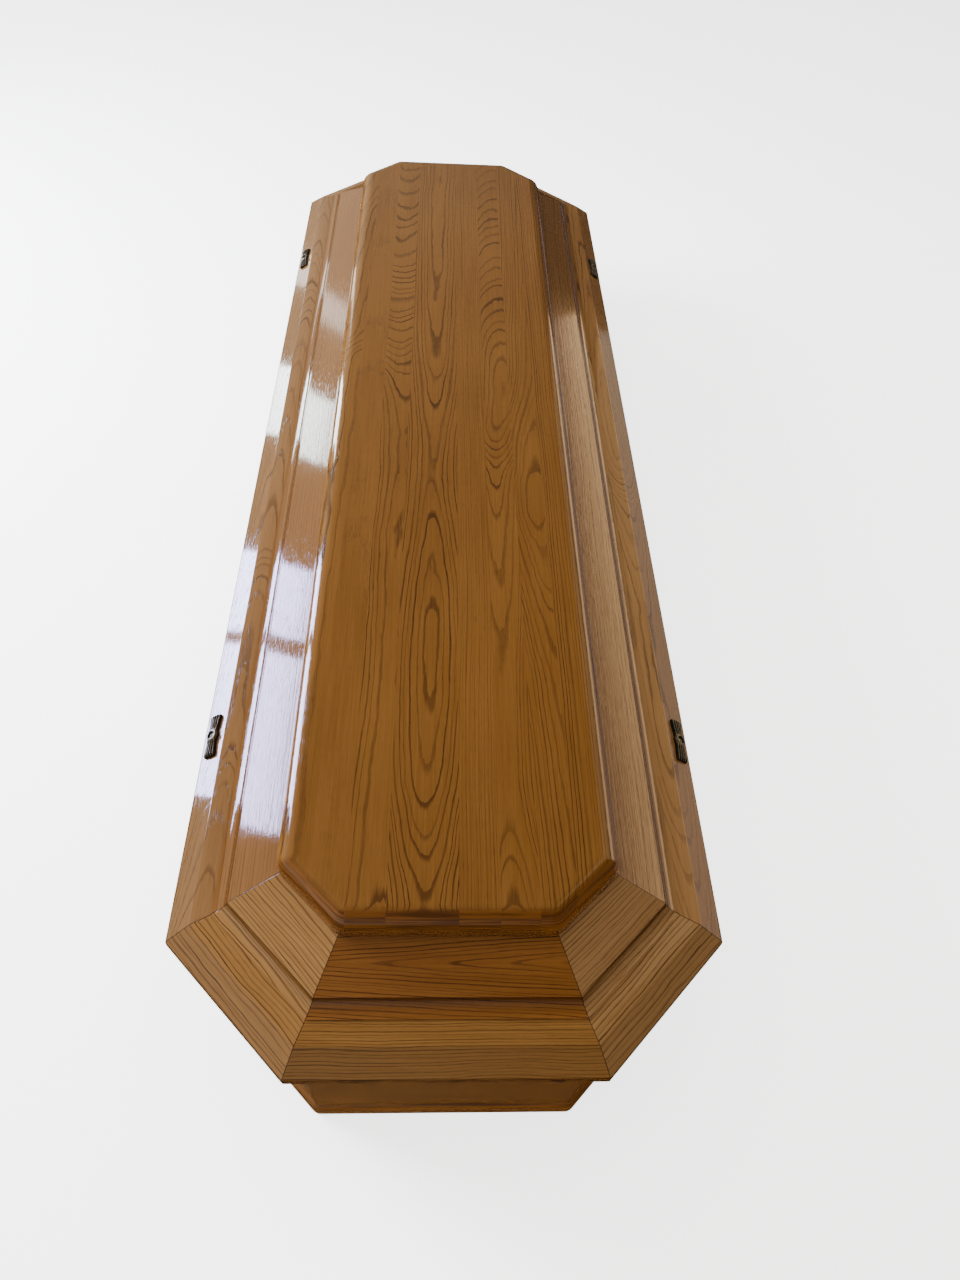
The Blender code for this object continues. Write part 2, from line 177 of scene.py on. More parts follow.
class Wire:
    """A shader socket that can be written into sums."""

    def __init__(self, finish, socket):
        self.finish = finish
        self.socket = socket

    def maths(self, operation, *values):
        """A Math node on these values."""
        return self.finish.node("ShaderNodeMath", {"operation": operation}, dict(enumerate(values)))

    def __add__(self, other):
        return self.maths("ADD", self, other)

    __radd__ = __add__

    def __sub__(self, other):
        return self.maths("SUBTRACT", self, other)

    def __rsub__(self, other):
        return self.maths("SUBTRACT", other, self)

    def __mul__(self, other):
        return self.maths("MULTIPLY", self, other)

    __rmul__ = __mul__

    def __truediv__(self, other):
        return self.maths("DIVIDE", self, other)

    def __rtruediv__(self, other):
        return self.maths("DIVIDE", other, self)

    def __abs__(self):
        return self.maths("ABSOLUTE", self)

    def fraction(self):
        """What is left over the last whole number."""
        return self.maths("FRACT", self)

    def whole(self):
        """The last whole number."""
        return self.maths("FLOOR", self)

    def root(self):
        """The square root."""
        return self.maths("SQRT", self)

    def sine(self):
        """The sine of an angle."""
        return self.maths("SINE", self)

    def above(self, limit):
        """1 above a limit, 0 below it."""
        return self.maths("GREATER_THAN", self, limit)


class Finish:
    """The look of a material or of the room round the coffin, built node by node."""

    def __init__(self, owner, shader="Principled BSDF"):
        owner.use_nodes = True
        self.owner = owner
        self.nodes = owner.node_tree.nodes
        self.links = owner.node_tree.links
        self.shader = self.nodes[shader]

    def node(self, kind, settings, values, output=0):
        """Add a node: its settings first, then the values or wires of its sockets."""
        made = self.nodes.new(kind)
        for name, setting in settings.items():
            if name == "stops":
                self.set_stops(made.color_ramp, setting)
            elif name == "points":
                self.set_points(made.mapping, setting)
            else:
                setattr(made, name, setting)
        for name, value in values.items():
            self.feed(made.inputs[name], value)
        return Wire(self, made.outputs[output])

    def set_stops(self, ramp, stops):
        """Give a ramp its (place, colour) stops."""
        while len(ramp.elements) < len(stops):
            ramp.elements.new(1)
        for element, (place, colour) in zip(ramp.elements, stops):
            element.position = place
            element.color = (*colour, 1)

    def set_points(self, mapping, points):
        """Lead a curve through these points."""
        line = mapping.curves[0]
        while len(line.points) < len(points):
            line.points.new(1.0, 1.0)
        for point, place in zip(line.points, points):
            point.location = place
        mapping.update()

    def feed(self, socket, value):
        """Link a wire to a socket, or set a plain value."""
        if isinstance(value, Wire):
            self.links.new(value.socket, socket)
        elif socket.type == "RGBA":
            socket.default_value = (*value, 1)
        else:
            socket.default_value = value

    def paint(self, **values):
        """Feed the shader, sockets named with low lines for spaces."""
        for name, value in values.items():
            self.feed(self.shader.inputs[name.replace("_", " ")], value)
        return self.owner

    def place(self):
        """The piece's own coordinates, in metres."""
        return self.node("ShaderNodeTexCoord", {}, {}, "Object")

    def facing(self):
        """Which way the surface faces, as three numbers."""
        return self.split(self.node("ShaderNodeNewGeometry", {}, {}, "Normal"))

    def split(self, vector):
        """The three numbers of a vector."""
        return [self.node("ShaderNodeSeparateXYZ", {}, {0: vector}, output) for output in range(3)]

    def join(self, x, y, z):
        """A vector from three numbers."""
        return self.node("ShaderNodeCombineXYZ", {}, {0: x, 1: y, 2: z})

    def noise(self, vector, detail=2, roughness=0.5):
        """Noise about zero, from about -0.5 to 0.5."""
        texture = self.node("ShaderNodeTexNoise", {}, {"Vector": vector, "Scale": 1.0, "Detail": detail,
                                                       "Roughness": roughness})
        return texture - NOISE_MIDDLE

    def grains(self, place, fineness, detail, roughness=0.5):
        """Noise at a place of three wires, with so many grains to the metre along each."""
        vector = self.join(*[part * count for part, count in zip(place, fineness)])
        return self.noise(vector, detail, roughness)

    def chance(self, value):
        """One random number from 0 to 1 for each value."""
        return self.node("ShaderNodeTexWhiteNoise", {"noise_dimensions": "1D"}, {"W": value})

    def step(self, value, start, full):
        """A smooth step from 0 at the start to 1 where it is full."""
        return self.node("ShaderNodeMapRange", {"interpolation_type": "SMOOTHSTEP"},
                         {"Value": value, "From Min": start, "From Max": full})

    def blend(self, share, first, second, mode="MIX"):
        """Mix two colours."""
        return self.node("ShaderNodeMix", {"data_type": "RGBA", "blend_type": mode},
                         {0: share, 6: first, 7: second}, 2)

    def bump(self, height, distance, strength):
        """A bumped normal."""
        return self.node("ShaderNodeBump", {}, {"Height": height, "Distance": distance, "Strength": strength})


def new_finish(name):
    """A finish for a new material."""
    return Finish(bpy.data.materials.new(name))


# Colours of the stained oak, and the painted shade of its steep faces
OAK_LIGHT = (0.186, 0.078, 0.0205)
OAK_DEEP = (0.126, 0.048, 0.0100)
OAK_LINE = (0.030, 0.0088, 0.0016)
OAK_PORE = (0.030, 0.0095, 0.0018)
SEAM_DARK = (0.020, 0.008, 0.0025)
# Painted shade: steep faces such as coves and outer edges are multiplied by this colour
STEEP_FACE_SHADE = (0.36, 0.29, 0.19)
END_STAIN = (1.10, 0.95, 0.80)

# Grains to the metre across, along and into a board, then how finely they are broken up, and how roughly
SWAY_GRAINS = ((6, 3.5, 6), 1)
WOBBLE_GRAINS = ((34, 11, 34), 2.5)
RAGGED_GRAINS = ((420, 26, 420), 2, 0.6)
FAINT_GRAINS = ((20, 6, 20), 1)
PORE_GRAINS = ((1500, 60, 1500), 1)
FIBRE_GRAINS = ((420, 7, 420), 3, 0.65)
CLOUD_GRAINS = ((12, 2.5, 12), 2)
RIPPLE_GRAINS = ((45, 9, 45), 2)
END_GRAINS = ((9, 9, 620), 3, 0.6)

# The same for how evenly the rings follow one another: for each ring, seed and metre along
UNEVEN_GRAINS = ((0.42, 1, 1.5), 1)

# How far apart the boards lie in the noise, for each step of their seed
SEED_ACROSS = 3.1
SEED_ALONG = 5.7
SEED_RINGS = 9.3
SEED_VIGOUR = 17.0

# How far the growth rings stray: in metres, then in rings
SWAY_REACH = 0.012
WOBBLE_REACH = 0.0038
RAGGED_RINGS = 0.22
UNEVEN_RINGS = 2.2

# Dark early wood of a ring, and how strongly its line and its pores show
EARLY_END = (0.36, 0.13)
EARLY_START = (0.0, 0.05)
LINE_VARIES = 0.65
LINE_LEAST = 0.45
FAINT_STEP = (-0.25, 0.15)
FAINT_SHARE = 0.30
PORE_STEP = (0.03, 0.17)
PORE_EARLY_SHARE = 0.7
PORE_SHARE = 0.42

# What makes the ground between the lines deeper in tone
FIBRE_TONE = 1.1
CLOUD_TONE = 0.8
YEAR_TONE = 0.15

# Streaks on end faces, glue lines at the mitres, and where painted shade darkens steep edges
STREAK_STEP = (-0.12, 0.16)
STREAK_SHARE = 0.75
END_TURN = (0.10, 0.42)
SEAM_REACH = (0.0004, 0.0012)
SEAM_SHARE = 0.3
STEEP_EDGE = (0.45, 1.0)

# The lacquer's skin
FIBRE_RELIEF = 0.6
PORE_RELIEF = 0.35
LINE_RELIEF = 0.25
RIPPLE_RELIEF = 0.5
LACQUER_DEPTH = 0.00012
LACQUER_STRENGTH = 0.8
LACQUER_ROUGHNESS = 0.028
PORE_ROUGHNESS = 0.03


def stained(colour, stain):
    """A colour of the oak under a darker or paler stain."""
    return tuple(part * share for part, share in zip(colour, stain))


def trunk(seed, climb, pith=0.0, core=0.04, ring=0.0038, contrast=0.8, tone=0.4, wander=1.0):
    """How a board was sawn from its trunk.

    climb is how many growth rings the face gains along the board, pith is where the middle of the
    trunk lies across it, core how deep it lies, and each may be a number or (along, value) points.
    """
    return {"seed": seed, "climb": climb, "pith": pith, "core": core, "ring": ring,
            "contrast": contrast, "tone": tone, "wander": wander}


def along_board(finish, along, value):
    """A number as it is, or a smooth curve through (along, value) points."""
    if not isinstance(value, (list, tuple)):
        return value
    places = [place for place, _ in value]
    heights = [height for _, height in value]
    first, reach = places[0], places[-1] - places[0]
    least, spread = min(heights), max(heights) - min(heights)
    points = [((place - first) / reach, (height - least) / spread) for place, height in value]
    curve = finish.node("ShaderNodeFloatCurve", {"points": points}, {"Value": (along - first) / reach})
    return curve * spread + least


def oak_finish(finish, across, along, depth, sawn, stain, seam=None, end_face=None, shade=None):
    """Stained oak under gloss lacquer, with the growth rings running right through the board, darkened by
    painted shade on steep faces where a shade is given.
    """
    seed = sawn["seed"]
    wander = sawn["wander"]
    place = (across + seed * SEED_ACROSS, along + seed * SEED_ALONG, depth)
    sway = finish.grains(place, *SWAY_GRAINS)
    wobble = finish.grains(place, *WOBBLE_GRAINS)
    ragged = finish.grains(place, *RAGGED_GRAINS)
    aside = across - sawn["pith"] + sway * SWAY_REACH * wander
    below = depth + sawn["core"]
    radius = (aside * aside + below * below).root() - sawn["core"]
    years = sawn["climb"] + (radius + wobble * WOBBLE_REACH * wander) / sawn["ring"] + ragged * RAGGED_RINGS
    uneven = finish.grains((years, seed * SEED_RINGS, along), *UNEVEN_GRAINS)
    years = years + uneven * UNEVEN_RINGS
    year = years.fraction()
    vigour = finish.chance(years.whole() + seed * SEED_VIGOUR)
    early = finish.step(year, *EARLY_END) * finish.step(year, *EARLY_START)
    faint = finish.step(finish.grains(place, *FAINT_GRAINS), *FAINT_STEP)
    lines = early * (vigour * LINE_VARIES + LINE_LEAST) * (faint * FAINT_SHARE + (1 - FAINT_SHARE))
    lines = lines * sawn["contrast"]

    pores = finish.step(finish.grains(place, *PORE_GRAINS), *PORE_STEP)
    pores = pores * (early * PORE_EARLY_SHARE + (1 - PORE_EARLY_SHARE))
    fibre = finish.grains(place, *FIBRE_GRAINS)
    cloud = finish.grains(place, *CLOUD_GRAINS)
    if end_face is not None:
        pores = pores * (1 - end_face)

    tone = sawn["tone"] + fibre * FIBRE_TONE + cloud * CLOUD_TONE + year * YEAR_TONE
    line_colour = stained(OAK_LINE, stain)
    ground = finish.blend(finish.step(tone, 0.0, 1.0), stained(OAK_LIGHT, stain), stained(OAK_DEEP, stain))
    grained = finish.blend(lines, ground, line_colour)
    colour = finish.blend(pores * PORE_SHARE, grained, stained(OAK_PORE, stain))
    if end_face is not None:
        streaks = finish.step(finish.grains((place[0], along, depth), *END_GRAINS), *STREAK_STEP)
        end_colour = stained(stained(OAK_DEEP, END_STAIN), stain)
        colour = finish.blend(end_face, colour, finish.blend(streaks * STREAK_SHARE, end_colour, line_colour))
    if seam is not None:
        colour = finish.blend(seam * SEAM_SHARE, colour, SEAM_DARK)
    # Painted shade: steep faces such as coves and edges are darkened
    if shade is not None:
        colour = finish.blend(shade, colour, finish.blend(1.0, colour, STEEP_FACE_SHADE, "MULTIPLY"))
    ripple = finish.grains((across, along, depth), *RIPPLE_GRAINS)
    relief = fibre * FIBRE_RELIEF - pores * PORE_RELIEF - lines * LINE_RELIEF + ripple * RIPPLE_RELIEF
    if end_face is not None:
        relief = relief * (1 - end_face)
    normal = finish.bump(relief, LACQUER_DEPTH, LACQUER_STRENGTH)
    roughness = LACQUER_ROUGHNESS + pores * PORE_ROUGHNESS
    return finish.paint(Base_Color=colour, Roughness=roughness, Normal=normal)


def board_oak(name, pitch, half, sawn, stain):
    """Oak for one mitred board, whose face is pitched, with darker glue lines at its mitres and painted shade
    on its steep faces unless it stands upright.
    """
    finish = new_finish(name)
    inset, run, height = finish.split(finish.place())
    level = height - MOULDING_SEAT
    across = inset * math.cos(pitch) + level * math.sin(pitch)
    depth = level * math.cos(pitch) - inset * math.sin(pitch)
    short = half - inset * math.tan(MITRE) - abs(run)
    seam = 1 - finish.step(short, *SEAM_REACH)
    curved = {key: along_board(finish, run, value) for key, value in sawn.items()}
    # Painted shade on steep faces, left off upright walls
    shade = None if pitch == UPRIGHT else 1 - finish.step(finish.facing()[2], *STEEP_EDGE)
    return oak_finish(finish, across, run, depth, curved, stain, seam, shade=shade)


# How much darker or paler than plain oak each board is stained, with painted light in the slopes' and
# mouldings' stains
PANEL_STAIN = (0.565, 0.57, 0.45)
WALL_STAIN = (0.50, 0.50, 0.45)
BASE_STAIN = (0.84, 0.94, 0.95)
# Painted light: the paler, bluer slope stains of the foot corners and the right side paint in a hazy sheen,
# and the dark left slope paints in shade
SLOPE_STAINS_AND_PAINTED_LIGHT = {
    "foot": (0.69, 0.63, 0.49), "foot_left": (0.90, 1.07, 1.34), "foot_right": (0.98, 1.25, 1.9),
    "left": (0.52, 0.50, 0.46), "right": (0.78, 0.86, 0.88),
}
# Painted light: the paler, bluer moulding stains of the foot corners and the right side paint in a hazy sheen
MOULDING_STAINS_AND_PAINTED_LIGHT = {
    "foot": (0.79, 0.88, 0.86), "foot_left": (0.80, 0.90, 0.98), "foot_right": (1.02, 1.30, 1.9),
    "left": (0.61, 0.69, 0.94), "right": (0.98, 1.12, 1.35),
}
HEAD_STAIN = (0.80, 0.85, 0.90)

# Edges of the panel's staves, across the lid
STAVE_EDGES = (-0.152, -0.110, -0.067, 0.010, 0.054, 0.096, 0.137)
STAVES = (
    trunk(1, [(-0.9, 0.6), (-0.45, 0.0), (-0.1, 0.5), (0.1, 1.0), (0.14, 2.2), (0.22, 5.5), (0.3, 6.0),
              (0.6, 7.0), (0.7, 9.0), (0.9, 12.0)], pith=-0.146, core=0.05, contrast=0.75, tone=0.35),
    trunk(2, [(-0.9, 0.0), (-0.2, 1.0), (0.45, 4.0), (0.9, 6.0)], pith=-0.132, core=0.3, contrast=0.16),
    trunk(3, [(-0.9, -1.2), (-0.76, -0.6), (-0.6, 0.1), (-0.45, 0.0), (-0.3, -0.4), (-0.1, 0.0), (0.05, -1.4),
              (0.1, -3.0), (0.14, -4.5), (0.2, -7.0), (0.3, -11.0), (0.4, -16.0), (0.44, -17.6),
              (0.54, -19.6), (0.66, -22.0), (0.77, -24.1), (0.9, -26.5)],
          pith=[(-0.9, -0.078), (0.02, -0.074), (0.2, -0.092), (0.9, -0.088)],
          core=[(-0.9, 0.05), (0.0, 0.05), (0.3, 0.13), (0.9, 0.13)], contrast=0.85),
    trunk(4, [(-0.9, 6.4), (-0.83, 5.0), (-0.80, 4.0), (-0.765, 3.0), (-0.73, 2.0), (-0.70, 1.2),
              (-0.607, 0.3), (-0.50, 0.0), (-0.43, 0.3), (-0.36, 1.05), (-0.29, 2.0), (-0.20, 2.9),
              (-0.15, 3.2), (-0.10, 3.0), (-0.01, 2.0), (0.06, 1.0), (0.16, 0.0), (0.545, -1.0), (0.9, -1.6)],
          pith=-0.026, core=0.035, contrast=0.85, tone=0.42),
    trunk(5, [(-0.9, 1.6), (-0.6, 1.0), (-0.35, 0.0), (-0.1, 0.4), (0.3, 0.8), (0.9, 0.0)],
          pith=-0.16, core=0.03, ring=0.0037, contrast=0.5, tone=0.36, wander=0.4),
    trunk(6, [(-0.9, 6.6), (-0.83, 7.6), (-0.755, 9.1), (-0.68, 9.6), (-0.6, 9.5), (-0.49, 9.0), (-0.39, 8.0),
              (-0.27, 7.0), (-0.19, 6.0), (-0.15, 5.0), (-0.13, 4.0), (-0.11, 3.0), (-0.09, 2.0),
              (-0.05, 1.0), (0.02, 0.2), (0.115, 1.0), (0.16, 2.0), (0.20, 3.0), (0.24, 4.0),
              (0.275, 5.0), (0.9, 21.0)],
          pith=[(-0.9, 0.066), (-0.1, 0.069), (0.05, 0.088), (0.9, 0.089)],
          core=[(-0.9, 0.035), (0.0, 0.035), (0.35, 0.13), (0.9, 0.13)], contrast=0.8),
    trunk(7, [(-0.9, 6.8), (-0.7, 6.2), (-0.56, 5.8), (-0.51, 5.0), (-0.455, 4.0), (-0.40, 3.0), (-0.32, 2.0),
              (-0.28, 1.0), (-0.21, 0.3), (-0.16, 1.0), (-0.06, 2.0), (0.06, 3.0), (0.20, 4.0), (0.5, 5.0),
              (0.9, 5.5)], pith=[(-0.9, 0.150), (-0.5, 0.140), (-0.2, 0.127), (0.1, 0.150), (0.9, 0.160)],
          core=0.035, contrast=0.8, tone=0.42),
    trunk(8, [(-0.9, 1.0), (-0.3, 0.0), (0.2, 0.8), (0.9, 0.0)], pith=0.02, core=0.03, ring=0.0046,
          contrast=0.9, tone=0.46, wander=0.6),
)


def end_share(finish):
    """How far a surface turns towards the foot or the head, from 0 to 1."""
    return finish.step(abs(finish.facing()[1]), *END_TURN)


def panel_oak():
    """Oak staves, glued edge to edge."""
    finish = new_finish("panel_oak")
    across, along, height = finish.split(finish.place())
    mixed = {key: along_board(finish, along, value) for key, value in STAVES[0].items()}
    before = dict(mixed)
    for edge, stave in zip(STAVE_EDGES, STAVES[1:]):
        past = across.above(edge)
        for key, value in stave.items():
            here = along_board(finish, along, value)
            mixed[key] = mixed[key] + past * (here - before[key])
            before[key] = here
    return oak_finish(finish, across, along, height - PANEL_TOP, mixed, PANEL_STAIN,
                      end_face=end_share(finish))


def base_oak():
    """Oak for the base board, streaked along its two ends."""
    finish = new_finish("base_oak")
    across, along, height = finish.split(finish.place())
    return oak_finish(finish, across, along, height, BASE_SAWN, BASE_STAIN, end_face=end_share(finish))


# Wear of the metal: grains to the metre, how far grit frays the wear, and where the wear sets in
BRONZE_GRIT_GRAINS = ((900, 900, 900), 3)
PATINA_GRAINS = ((120, 120, 120), 2)
SCREW_GRIT_GRAINS = ((1200, 1200, 1200), 2)
FRAY = 0.0006
FRAY_ON_RIBS = 0.4
PATINA_STEP = (-0.2, 0.2)
BOSS_WEAR = (BOSS_RADIUS * 1.15, BOSS_RADIUS * 0.95)
RAISED_WEAR = (PLATE_THICK + 0.0006, PLATE_THICK + 0.0016)
CREST_WEAR = (0.70, 1.0)
BOSS_WEAR_SHARE = 0.55

# Colours and skin of the metal
BRONZE_BLACK = (0.009, 0.007, 0.004)
BRONZE_BROWN = (0.018, 0.015, 0.009)
BRONZE_RUBBED = (0.160, 0.140, 0.098)
BRONZE_METALLIC = 0.85
BRONZE_ROUGHNESS = 0.50
RUBBED_SMOOTHER = 0.16
SCREW_DARK = (0.022, 0.018, 0.011)
SCREW_RUBBED = (0.150, 0.130, 0.090)
SCREW_METALLIC = 0.6
SCREW_ROUGHNESS = 0.42
GRIT_DEPTH = 0.0002
BRONZE_GRIT_STRENGTH = 0.6
SCREW_GRIT_STRENGTH = 0.5


def bronze_finish():
    """Antique cast bronze: rubbed brighter on its ribs and boss, dark in its hollows and at its rim."""
    finish = new_finish("cast_bronze")
    place = finish.split(finish.place())
    along, across, height = place
    grit = finish.grains(place, *BRONZE_GRIT_GRAINS)
    patina = finish.grains(place, *PATINA_GRAINS)
    flare = finish.step(abs(along) / (PLATE_LENGTH / 2 - RIB_OVERRUN), FLARE_START, 1.0)
    half_width = (flare * (PLATE_END_WIDTH - PLATE_WAIST_WIDTH) + PLATE_WAIST_WIDTH) / 2
    ridge = abs(((across / half_width + 1) * (math.pi * PLATE_RIBS / 2)).sine())
    from_middle = (along * along + across * across).root()
    on_boss = finish.step(from_middle + grit * FRAY, *BOSS_WEAR)
    on_ribs = finish.step(ridge + grit * FRAY_ON_RIBS, *CREST_WEAR) * (1 - on_boss)
    worn = (on_ribs + on_boss * BOSS_WEAR_SHARE) * finish.step(height + grit * FRAY, *RAISED_WEAR)
    ground = finish.blend(finish.step(patina, *PATINA_STEP), BRONZE_BLACK, BRONZE_BROWN)
    return finish.paint(Base_Color=finish.blend(worn, ground, BRONZE_RUBBED), Metallic=BRONZE_METALLIC,
                        Roughness=BRONZE_ROUGHNESS - worn * RUBBED_SMOOTHER,
                        Normal=finish.bump(grit, GRIT_DEPTH, BRONZE_GRIT_STRENGTH))


def screw_finish():
    """The screws' darkened metal, brighter on the crown of the head."""
    finish = new_finish("screw_metal")
    place = finish.split(finish.place())
    grit = finish.grains(place, *SCREW_GRIT_GRAINS)
    worn = finish.step(place[2] + grit * FRAY, HEAD_TOP - HEAD_DOME, HEAD_TOP)
    return finish.paint(Base_Color=finish.blend(worn, SCREW_DARK, SCREW_RUBBED), Metallic=SCREW_METALLIC,
                        Roughness=SCREW_ROUGHNESS, Normal=finish.bump(grit, GRIT_DEPTH, SCREW_GRIT_STRENGTH))


# The floor: its two paints, its skin, its own glow, half its length and how far it lies below the coffin
FLOOR_PAINTS = ((0.86, 0.86, 0.85), (0.90, 0.90, 0.89))
FLOOR_ROUGHNESS = 0.9
FLOOR_GLOSS = 0.1
FLOOR_GLOW = 2.6
FLOOR_REACH = 15
FLOOR_GAP = 0.0005
WHITE = (1.0, 1.0, 1.0)
BLACK = (0.0, 0.0, 0.0)


def floor_finish():
    """A plain pale floor that glows a little, so that it stays white."""
    finish = new_finish("pale_floor")
    mottle = finish.noise(finish.place()) + NOISE_MIDDLE
    return finish.paint(Base_Color=finish.blend(mottle, *FLOOR_PAINTS), Roughness=FLOOR_ROUGHNESS,
                        Specular_IOR_Level=FLOOR_GLOSS, Emission_Color=WHITE, Emission_Strength=FLOOR_GLOW)


def round_outline(corners, steps=None):
    """An outline whose corners (x, y, radius) are rounded by arcs."""
    outline = []
    for index, (x, y, radius) in enumerate(corners):
        here = Vector((x, y))
        if radius == 0:
            outline.append(here)
            continue
        before = Vector(corners[index - 1][:2])
        after = Vector(corners[(index + 1) % len(corners)][:2])
        back = (before - here).normalized()
        ahead = (after - here).normalized()
        half = back.angle(ahead) / 2
        centre = here + (back + ahead).normalized() * radius / math.sin(half)
        start = here + back * radius / math.tan(half) - centre
        turn = start.angle_signed(here + ahead * radius / math.tan(half) - centre)
        count = steps or max(2, math.ceil(abs(turn) / ARC_STEP))
        for step in range(count + 1):
            outline.append(centre + Matrix.Rotation(-turn * step / count, 2) @ start)
    return outline


def hollow_arc(start, end, radius):
    """Points of a concave arc between two points."""
    chord = end - start
    across = Vector((-chord.y, chord.x)).normalized()
    centre = (start + end) / 2 + across * math.sqrt(radius ** 2 - (chord.length / 2) ** 2)
    turn = 2 * math.asin(chord.length / 2 / radius)
    count = math.ceil(turn / ARC_STEP)
    return [centre + Matrix.Rotation(turn * step / count, 2) @ (start - centre) for step in range(count + 1)]


def wall_section():
    """An upright board with lightly rounded edges."""
    inner = WALL_INSET + WALL_THICK
    return round_outline([(WALL_INSET, WALL_FOOT, EASE), (inner, WALL_FOOT, EASE),
                          (inner, RIM, EASE), (WALL_INSET, RIM, EASE)])


def moulding_section():
    """Small upright edge, steeper strip, crease, gentler plane and a flat seat."""
    flat_end = WALL_INSET + WALL_THICK + RIM_LEDGE
    return round_outline([
        (0, LID_UNDERSIDE, EDGE_UNDER_RADIUS),
        (0, EDGE_TOP, EDGE_TOP_RADIUS),
        (OUTER_STRIP_RUN, CREASE, CREASE_RADIUS),
        (COVE_INSET, MOULDING_SEAT, 0),
        (MOULDING_WIDTH, MOULDING_SEAT, 0),
        (MOULDING_WIDTH, MOULDING_SEAT - MOULDING_INNER_THICK, EASE),
        (flat_end, LID_UNDERSIDE, EASE),
    ])


def slope_section():
    """A small fillet, a cove, a crisp edge, the slope and a flat seat."""
    pitch = math.tan(SLOPE_PITCH)
    drop = SLOPE_THICK * math.sqrt(1 + pitch ** 2)
    arris = Vector((ARRIS_INSET, ARRIS))
    cove = hollow_arc(Vector((COVE_INSET, SLOPE_FOOT + COVE_FILLET)), arris, COVE_RADIUS)
    corners = [(COVE_INSET, SLOPE_FOOT, 0)]
    corners += [(point.x, point.y, 0) for point in cove[:-1]]
    corners += [
        (arris.x, arris.y, ARRIS_RADIUS),
        (SEAT_INSET, SLOPE_HEAD, 0),
        (SEAT_END, SLOPE_HEAD, 0),
        (SEAT_END, ARRIS + (SEAT_END - ARRIS_INSET) * pitch - drop, EASE),
        (ARRIS_INSET + (SLOPE_FOOT - ARRIS + drop) / pitch, SLOPE_FOOT, EASE),
    ]
    return round_outline(corners)


def drawn_in(outline, distance):
    """An outline moved inward all round."""
    moved = []
    for index, here in enumerate(outline):
        back = (here - outline[index - 1]).normalized()
        ahead = (outline[(index + 1) % len(outline)] - here).normalized()
        inward = Vector((back.y + ahead.y, -back.x - ahead.x)).normalized()
        moved.append(here + inward * distance)
    return moved


def loft(shape, rings):
    """Join closed rings of points with faces, and close both ends."""
    loops = [[shape.verts.new(point) for point in ring] for ring in rings]
    for lower, upper in zip(loops, loops[1:]):
        for index in range(len(lower)):
            following = (index + 1) % len(lower)
            shape.faces.new((lower[index], lower[following], upper[following], upper[index]))
    shape.faces.new(list(reversed(loops[0])))
    shape.faces.new(loops[-1])
    bmesh.ops.recalc_face_normals(shape, faces=shape.faces)


def oak_piece(node, shape, material, place=None):
    """Turn a finished shape into the oak piece that stands for a part of the model."""
    mesh = bpy.data.meshes.new("oak_" + node)
    shape.to_mesh(mesh)
    shape.free()
    return place_piece("oak_" + node, mesh, material, node, place)


def place_piece(name, mesh, material, node, place=None):
    """Show a mesh as the piece that stands for a part of the model."""
    piece = bpy.data.objects.new(name, mesh)
    bpy.context.scene.collection.objects.link(piece)
    piece.matrix_world = place or Matrix.Identity(4)
    if not mesh.materials:
        mesh.materials.append(material)
    mesh.shade_smooth()
    mesh.set_sharp_from_angle(angle=SHARP_ANGLE)
    even = piece.modifiers.new("Even shading", "WEIGHTED_NORMAL")
    even.keep_sharp = True
    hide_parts(node)
    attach(piece, "root")
    return piece


def side_places():
    """For each side: its name, half its outer length, and the frame at the middle of that edge."""
    half_width = WIDTH / 2
    half_length = LENGTH / 2
    long_half = half_length - CORNER_CUT
    short_half = half_width - CORNER_CUT
    corner_half = CORNER_CUT / math.sqrt(2)
    corner_x = half_width - CORNER_CUT / 2
    corner_y = half_length - CORNER_CUT / 2
    middles = ((half_width, 0), (corner_x, corner_y), (0, half_length), (-corner_x, corner_y),
               (-half_width, 0), (-corner_x, -corner_y), (0, -half_length), (corner_x, -corner_y))
    halves = (long_half, corner_half, short_half, corner_half) * 2
    for index, (name, middle, half) in enumerate(zip(SIDE_NAMES, middles, halves)):
        turn = Matrix.Rotation(index * 2 * MITRE + math.pi, 4, "Z")
        yield name, half, Matrix.Translation((*middle, 0)) @ turn


def mitred_board(name, section, half, place, material):
    """A length of one section (inset, height), cut on the mitres, with eased ends."""
    shape = bmesh.new()
    rings = []
    gap = FIT_GAP / 2 / math.cos(MITRE)
    ends = ((EASE, 0), (EASE / 4, EASE / 4), (0, EASE))
    for sign, order in ((-1, ends), (1, reversed(ends))):
        for inward, back in order:
            ring = []
            for x, z in drawn_in(section, inward):
                reach = half - x * math.tan(MITRE) - gap - back
                ring.append((x, sign * reach, z))
            rings.append(ring)
    loft(shape, rings)
    return oak_piece(name, shape, material, place)


def plan_outline(inset, radius):
    """The eight-sided plan, drawn in by an inset, with its corners rounded."""
    half_width = WIDTH / 2 - inset
    half_length = LENGTH / 2 - inset
    cut = CORNER_CUT - inset * (2 - math.sqrt(2))
    quarter = [(half_width, half_length - cut), (half_width - cut, half_length)]
    half = quarter + [(-x, y) for x, y in reversed(quarter)]
    whole = half + [(-x, -y) for x, y in half]
    return round_outline([(x, y, radius) for x, y in whole], steps=PLAN_CORNER_STEPS)


def rounding(run, drop):
    """Points (inset, depth below the top) of a rounded upper edge, from the side to the flat."""
    count = math.ceil(math.pi / 2 / ARC_STEP)
    angles = [math.pi / 2 * step / count for step in range(count + 1)]
    return [(run * (1 - math.cos(angle)), drop * (1 - math.sin(angle))) for angle in angles]


def base_levels():
    """The base board's edge, upwards: (inset, height)."""
    under = rounding(BASE_UNDER_RADIUS, BASE_UNDER_RADIUS)
    upper = [(inset, BASE_THICK - depth) for inset, depth in rounding(BASE_NOSING_RADIUS, BASE_NOSING_RADIUS)]
    return under[::-1] + upper


